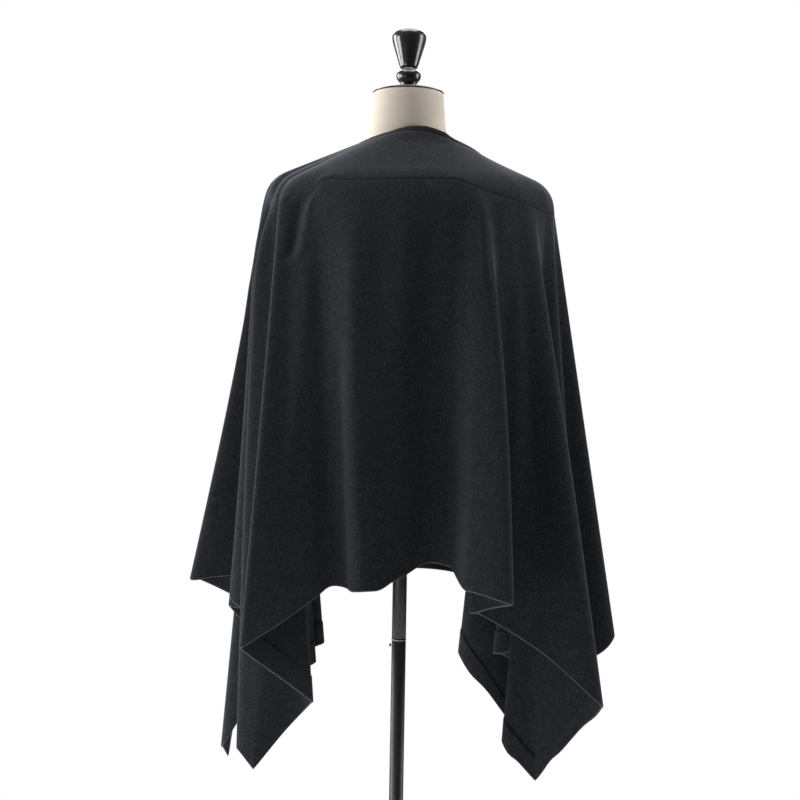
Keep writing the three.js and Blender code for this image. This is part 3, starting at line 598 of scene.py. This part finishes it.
def hem_stitches(name, columns):
    rows = np.array(HEM_ROWS)[::-1]
    share = np.interp(STITCH_FROM_EDGE, rows, np.arange(len(rows)))
    low = ROW_COUNT - 1 - int(math.floor(share))
    part = share - math.floor(share)
    line = cloth[columns, low] * (1 - part) + cloth[columns, low - 1] * part
    normal = cloth_normal[columns, low]
    line = line - normal * (WALL / 2 + HEM_EXTRA + 0.1)
    run = np.append(0, np.cumsum(np.linalg.norm(np.diff(line, axis=0), axis=1)))
    places = np.arange(STITCH_PITCH, run[-1] - STITCH_PITCH, STITCH_PITCH)
    middle = np.stack([np.interp(places, run, line[:, k]) for k in range(3)], 1)
    ahead = np.stack([np.interp(places + 1.3, run, line[:, k]) for k in range(3)], 1)
    out = unit(np.stack([np.interp(places, run, normal[:, k]) for k in range(3)], 1))
    along = unit(ahead - middle)
    side = unit(np.cross(along, out))
    out = np.cross(side, along)
    points = (
        middle[:, None]
        + thread_points[None, :, :1] * out[:, None]
        + thread_points[None, :, 1:2] * side[:, None]
        + thread_points[None, :, 2:] * along[:, None]
    )
    faces = [tuple(k * len(thread_points) + v for v in f) for k in range(len(places)) for f in thread_faces]
    stitches = mesh_piece(name, points.reshape(-1, 3), faces, black_thread_and_hem_shade)
    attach(stitches, "root")
    return stitches


back_stitches = hem_stitches("back_hem_stitches", back_columns)
front_stitches = hem_stitches("front_hem_stitches", front_columns)

# Neck binding. A strip of the same wool cut narrow and folded over the neck's edge, sewn through with
# one row of stitches close to its lower edge.
BINDING_WIDTH = 8.0
BINDING_SECTION = [  # share of the width from the cloth's edge, and height from the middle, mm
    (0.0, -1.5), (0.0, 1.5), (0.06, 1.8), (0.2, 1.7), (0.26, 1.35), (0.34, 1.75), (0.6, 1.95), (0.85, 1.6),
    (0.96, 0.9), (1.0, 0.0), (0.96, -0.9), (0.85, -1.6), (0.5, -1.8), (0.06, -1.8),
]
binding_wool = wool_material(
    "binding_wool", (0.021, 0.0185, 0.0195), (0.026, 0.0235, 0.0248), (0.06, 0.055, 0.058)
)
edge = cloth[:, 0]
run = [0]
for k in range(1, COLUMN_COUNT):
    if np.linalg.norm(edge[k] - edge[run[-1]]) > 1.4:
        run.append(k)
ring = edge[run]
ring_normal = cloth_normal[run, 0]
inward = unit(np.cross(np.roll(ring, -1, 0) - np.roll(ring, 1, 0), ring_normal))
section_points = np.stack(
    [ring + inward * (SEAM_GAP + at * BINDING_WIDTH) + ring_normal * high for at, high in BINDING_SECTION], 1
)
sides = len(BINDING_SECTION)
faces = []
for k in range(len(run)):
    n = (k + 1) % len(run)
    for s in range(sides):
        t = (s + 1) % sides
        faces.append((k * sides + s, k * sides + t, n * sides + t, n * sides + s))
neck_binding = mesh_piece("neck_binding_strip", section_points.reshape(-1, 3), faces, binding_wool)
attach(neck_binding, "root")
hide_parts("neck_binding")

# Dress form. A torso of moulded fibre without limbs, padded and covered in one layer of beige cotton
# jersey that is drawn tight up to the neck and down to the base.
FORM_SECTIONS = [  # height, half width, half depth and depth offset in metres
    (0.790, 0.152, 0.094, -0.002), (0.850, 0.158, 0.099, -0.002), (0.930, 0.143, 0.092, 0.0),
    (1.010, 0.114, 0.079, 0.002), (1.100, 0.124, 0.087, 0.004), (1.190, 0.143, 0.103, 0.008),
    (1.250, 0.160, 0.103, 0.002), (1.300, 0.185, 0.093, -0.005), (1.335, 0.188, 0.077, -0.011),
    (1.358, 0.1574, 0.068, -0.011), (1.378, 0.1224, 0.062, -0.009), (1.396, 0.068, 0.055, -0.003),
    (1.412, 0.0615, 0.054, 0.001), (1.426, 0.0605, 0.0555, 0.001), (1.440, 0.0583, 0.0555, 0.001),
    (1.460, 0.0568, 0.0555, 0.0005), (1.484, 0.055, 0.055, 0.0),
]


def between_sections(p, s):
    """A point on the smooth curve through four rows, a share of the way between the middle two."""
    gap = [np.linalg.norm((p[k + 1] - p[k])[:2]) ** 0.5 for k in range(3)]
    a = (p[1] - p[0]) / gap[0] - (p[2] - p[0]) / (gap[0] + gap[1]) + (p[2] - p[1]) / gap[1]
    b = (p[2] - p[1]) / gap[1] - (p[3] - p[1]) / (gap[1] + gap[2]) + (p[3] - p[2]) / gap[2]
    blend = 2 * s**3 - 3 * s**2 + 1
    slopes = a * (s**3 - 2 * s**2 + s) + b * (s**3 - s**2)
    return p[1] * blend + p[2] * (1 - blend) + gap[1] * slopes


def lofted(name, rings, around):
    """A round body drawn up ring by ring: each ring is a height, a half width, a half depth and a depth."""
    bpy.ops.object.select_all(action="DESELECT")
    bpy.ops.mesh.primitive_circle_add(vertices=around, radius=1, location=(0, 0, 0))
    piece = bpy.context.object
    piece.name = name
    bpy.ops.object.mode_set(mode="EDIT")
    bpy.ops.mesh.select_all(action="SELECT")
    z, wide, deep, y = rings[0]
    bpy.ops.transform.resize(value=(wide, deep, 1), center_override=(0, 0, 0))
    bpy.ops.transform.translate(value=(0, y, z))
    bpy.ops.mesh.edge_face_add()
    for z2, wide2, deep2, y2 in rings[1:]:
        bpy.ops.mesh.extrude_region_move(TRANSFORM_OT_translate={"value": (0, y2 - y, z2 - z)})
        bpy.ops.transform.resize(value=(wide2 / wide, deep2 / deep, 1), center_override=(0, y2, z2))
        z, wide, deep, y = z2, wide2, deep2, y2
    bpy.ops.mesh.select_all(action="SELECT")
    bpy.ops.mesh.normals_make_consistent(inside=False)
    bpy.ops.object.mode_set(mode="OBJECT")
    return piece


def finish_piece(piece, material, node, angle=40):
    bpy.ops.object.select_all(action="DESELECT")
    piece.select_set(True)
    bpy.context.view_layer.objects.active = piece
    bpy.ops.object.transform_apply(location=True, rotation=True, scale=True)
    bpy.ops.object.shade_smooth_by_angle(angle=math.radians(angle))
    piece.data.materials.clear()
    piece.data.materials.append(material)
    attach(piece, "root")
    if node:
        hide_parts(node)


def smoothed(piece, levels):
    bpy.context.view_layer.objects.active = piece
    modifier = piece.modifiers.new("smooth", "SUBSURF")
    modifier.levels = modifier.render_levels = levels
    bpy.ops.object.modifier_apply(modifier=modifier.name)


rows = np.array(FORM_SECTIONS)
rows = np.vstack([2 * rows[0] - rows[1], rows, 2 * rows[-1] - rows[-2]])
form_rings = [tuple(FORM_SECTIONS[0])]
for k in range(len(FORM_SECTIONS) - 1):
    for s in (0.5, 1.0):
        form_rings.append(tuple(between_sections(rows[k : k + 4], s)))
z, wide, deep, y = form_rings[0]
rounded_base = [(z, wide * 0.93, deep * 0.92, y), (z, wide * 0.985, deep * 0.98, y)]
rounded_base.append((z + 0.002, wide, deep, y))
z, wide, deep, y = form_rings[-1]
rounded_top = [(z, wide * 0.985, deep * 0.985, y), (z, wide * 0.9, deep * 0.9, y)]
form = lofted("form_body", rounded_base + form_rings[1:] + rounded_top, 72)
smoothed(form, 1)
jersey, nodes, links, shader, place = node_material("beige_jersey")
rib = nodes.new("ShaderNodeTexWave")
rib.bands_direction = "X"
rib.inputs["Scale"].default_value = 260
rib.inputs["Distortion"].default_value = 1.2
links.new(place, rib.inputs["Vector"])
slub = noise(nodes, links, place, 300, 3, (1, 1, 0.3))
faded = noise(nodes, links, place, 6, 3)
shade = ramp(nodes, links, faded, [(0.3, (0.70, 0.61, 0.52)), (0.7, (0.75, 0.66, 0.565))])
slub = ramp(nodes, links, slub, [(0.3, grey(0)), (0.7, grey(1))])
thread_tone = mixed(nodes, links, 0.5, rib.outputs["Color"], slub)
fine = ramp(nodes, links, thread_tone, [(0.0, grey(0.93)), (1.0, grey(1.0))])
links.new(mixed(nodes, links, 1.0, shade, fine, "MULTIPLY"), shader.inputs["Base Color"])
shader.inputs["Roughness"].default_value = 0.85
shader.inputs["Specular IOR Level"].default_value = 0.2
shader.inputs["Sheen Weight"].default_value = 0.08
bump(nodes, links, shader, thread_tone, 0.25, 0.0003)
finish_piece(form, jersey, "form_torso", 60)

# Neck cap and socket. A thin disc of stained, varnished wood closes the neck, and a turned socket of
# the same wood under the torso takes the pole.
def turned(name, profile, around=96):
    """A piece turned on the pole's axis, from its profile as rows of radius and height in millimetres."""
    return lofted(name, [(z * 0.001, r * 0.001, r * 0.001, 0.0) for r, z in profile], around)


cap_wood, nodes, links, shader, place = node_material("cap_wood")
grain = noise(nodes, links, place, 90, 4, (1, 6, 1))
links.new(ramp(nodes, links, grain, [(0.3, (0.020, 0.012, 0.009)), (0.7, (0.036, 0.022, 0.016))]),
          shader.inputs["Base Color"])
shader.inputs["Roughness"].default_value = 0.42
shader.inputs["Coat Weight"].default_value = 0.25
bump(nodes, links, shader, grain, 0.15, 0.0003)
neck_cap = turned("neck_cap", [
    (50, 1484.3), (54.4, 1484.3), (55, 1484.8), (55, 1485.8), (53.6, 1487.2), (50, 1488.5), (45.5, 1489.3),
    (39, 1489.8), (20, 1489.8),
])
finish_piece(neck_cap, cap_wood, "form_neck_cap")
socket = turned("pole_socket", [
    (14, 765.7), (25, 765.7), (27.2, 766.6), (28, 768.8), (28, 781), (27, 783.2), (26, 784), (26, 786.5),
    (28, 788), (28, 789.7), (12, 789.7),
])
finish_piece(socket, cap_wood, "form_socket")

# Finial. Turned wood in glossy black lacquer: a collar with a rounded bead, and on it a tapered knob
# that widens to a domed top, by which the form is carried.
lacquer, nodes, links, shader, place = node_material("black_lacquer")
ripple = noise(nodes, links, place, 45, 2, (1, 1, 0.5))
links.new(ramp(nodes, links, ripple, [(0.3, (0.022, 0.022, 0.024)), (0.7, (0.03, 0.03, 0.032))]),
          shader.inputs["Base Color"])
links.new(ramp(nodes, links, noise(nodes, links, place, 160, 3), [(0.3, grey(0.2)), (0.7, grey(0.28))]),
          shader.inputs["Roughness"])
shader.inputs["Coat Weight"].default_value = 0.6
shader.inputs["Coat Roughness"].default_value = 0.08
bump(nodes, links, shader, ripple, 0.06, 0.0006)
collar = turned("finial_bead", [
    (8, 1490.1), (14, 1490.1), (14, 1490.9), (12.6, 1492.7), (12.4, 1497.5), (13, 1500.9), (15.2, 1503.5),
    (17.8, 1506.5), (19, 1509.9), (19.2, 1512.5), (18.4, 1516.1), (16.6, 1518.7), (14.4, 1520.5),
    (13.4, 1522.5), (13.1, 1524.1), (6, 1524.1),
])
finish_piece(collar, lacquer, "finial_collar", 50)
knob = turned("finial_knob", [
    (6, 1524.4), (12.6, 1524.4), (13.4, 1525.1), (14.4, 1527.5), (16.2, 1533), (18.8, 1542), (21, 1549),
    (23.3, 1556.5), (24.7, 1561), (25.8, 1565.5), (26.4, 1569), (26.5, 1571.5), (26.1, 1574.5),
    (25, 1577.4), (23.1, 1579.9), (20.6, 1582), (17.2, 1584.1), (13, 1586), (8.5, 1587.3), (4, 1587.9),
    (1, 1588),
])
finish_piece(knob, lacquer, "finial", 50)

# Stand. Two steel tubes of one diameter in satin black meet at a bare ring, with a small sprung pin
# just below it, and they stand in a round weighted base with a boss. All of it is powder coated.
powder, nodes, links, shader, place = node_material("satin_black")
peel = noise(nodes, links, place, 900, 2)
scuff = noise(nodes, links, place, 25, 4, (1, 1, 0.15))
links.new(ramp(nodes, links, scuff, [(0.3, (0.026, 0.0255, 0.0245)), (0.72, (0.04, 0.039, 0.037))]),
          shader.inputs["Base Color"])
links.new(ramp(nodes, links, scuff, [(0.3, grey(0.34)), (0.7, grey(0.46))]), shader.inputs["Roughness"])
shader.inputs["Metallic"].default_value = 0.0
bump(nodes, links, shader, peel, 0.12, 0.0003)
bare, nodes, links, shader, place = node_material("bare_metal")
brushed = noise(nodes, links, place, 700, 3, (0.3, 0.3, 6))
links.new(ramp(nodes, links, brushed, [(0.3, grey(0.24)), (0.7, grey(0.36))]), shader.inputs["Base Color"])
shader.inputs["Metallic"].default_value = 1.0
shader.inputs["Roughness"].default_value = 0.32
bump(nodes, links, shader, brushed, 0.1, 0.0002)
base = turned("round_base", [
    (150, 0), (158, 0), (159.6, 0.7), (160, 2.2), (160, 8.6), (159.3, 11), (157.6, 12.9), (155, 14),
    (30, 14), (27, 14.4), (25, 15.8), (24, 18), (24, 42.4), (23.4, 44.6), (22, 45.7), (20.6, 46), (8, 46),
], 128)
finish_piece(base, powder, "stand_base", 50)
lower_tube = turned("lower_tube", [(8, 46.3), (11, 46.3), (11, 636.9), (10.4, 637.7), (7, 637.7)], 64)
finish_piece(lower_tube, powder, "pole_lower", 50)
upper_tube = turned("upper_tube", [(7, 640.7), (10.4, 640.7), (11, 641.5), (11, 765.4), (8, 765.4)], 64)
finish_piece(upper_tube, powder, "pole_upper", 50)
ring = turned("joint_ring", [
    (8, 638), (11.1, 638), (11.4, 638.4), (11.4, 640), (11.1, 640.4), (8, 640.4),
], 64)
finish_piece(ring, bare, "pole_ring", 50)
bpy.ops.object.select_all(action="DESELECT")
bpy.ops.mesh.primitive_cylinder_add(
    vertices=32, radius=0.0026, depth=0.0033, location=(-0.01325, 0, 0.63), rotation=(0, math.radians(90), 0)
)
pin = bpy.context.object
pin.name = "sprung_pin"
bevel = pin.modifiers.new("dome", "BEVEL")
bevel.width, bevel.segments = 0.0012, 4
bpy.ops.object.modifier_apply(modifier="dome")
finish_piece(pin, bare, "pole_pin", 50)

# Floor and light: a pale round floor and a white surround that is dimmer on the wearer's back side, so
# that the back is in soft shade and what turns away from it catches the light, with two wide soft lights
# overhead, two at the left, one at the right and a weak one near the floor.
bpy.ops.object.select_all(action="DESELECT")
bpy.ops.mesh.primitive_circle_add(vertices=128, radius=1.3, fill_type="NGON", location=(0, 0, -0.001))
floor = bpy.context.object
floor.name = "floor"
paper, nodes, links, shader, place = node_material("floor_paper")
fibre = noise(nodes, links, place, 60, 3)
links.new(ramp(nodes, links, fibre, [(0.3, grey(0.86)), (0.7, grey(0.9))]), shader.inputs["Base Color"])
shader.inputs["Roughness"].default_value = 0.9
floor.data.materials.append(paper)

SURROUND_NEAR = 0.02  # strength behind the wearer
SURROUND_FAR = 0.15  # strength before the wearer
world = bpy.data.worlds.new("surround")
world.use_nodes = True
nodes, links = world.node_tree.nodes, world.node_tree.links
seen = nodes["Background"]
seen.inputs["Color"].default_value = (1, 1, 1, 1)
lighting = nodes.new("ShaderNodeBackground")
lighting.inputs["Color"].default_value = (0.97, 0.985, 1, 1)
split = nodes.new("ShaderNodeSeparateXYZ")
links.new(nodes.new("ShaderNodeTexCoord").outputs["Generated"], split.inputs["Vector"])
fade = nodes.new("ShaderNodeMapRange")
fade.inputs["From Min"].default_value = -0.75
fade.inputs["From Max"].default_value = 0.6
fade.inputs["To Min"].default_value = SURROUND_NEAR
fade.inputs["To Max"].default_value = SURROUND_FAR
links.new(split.outputs["Y"], fade.inputs["Value"])
links.new(fade.outputs["Result"], lighting.inputs["Strength"])
choice = nodes.new("ShaderNodeMixShader")
links.new(nodes.new("ShaderNodeLightPath").outputs["Is Camera Ray"], choice.inputs["Fac"])
links.new(lighting.outputs["Background"], choice.inputs[1])
links.new(seen.outputs["Background"], choice.inputs[2])
links.new(choice.outputs["Shader"], nodes["World Output"].inputs["Surface"])
scene.world = world


def soft_light(name, location, target, size, power):
    light = bpy.data.lights.new(name, "AREA")
    light.shape = "RECTANGLE"
    light.size, light.size_y = size
    light.energy = power
    lamp = bpy.data.objects.new(name, light)
    lamp.location = location
    lamp.rotation_euler = (Vector(target) - Vector(location)).to_track_quat("-Z", "Y").to_euler()
    scene.collection.objects.link(lamp)


soft_light("overhead", (0, -0.1, 3.2), (0, 0, 1.2), (2.2, 1.8), 68)
soft_light("overhead_back", (0, 1.6, 2.8), (0, 0, 1.2), (2.0, 1.2), 40)
soft_light("left_side", (-2.6, -0.45, 1.0), (0, 0, 1.0), (1.0, 1.6), 47)
soft_light("left_back", (-2.2, 0.9, 1.4), (0, 0, 1.0), (1.0, 1.8), 50)
soft_light("right_side", (2.6, 0.1, 1.4), (0, 0, 1.0), (1.2, 2.2), 42)
soft_light("low_front", (-1.5, -1.7, 0.15), (0, 0, 0.8), (0.8, 0.5), 8)
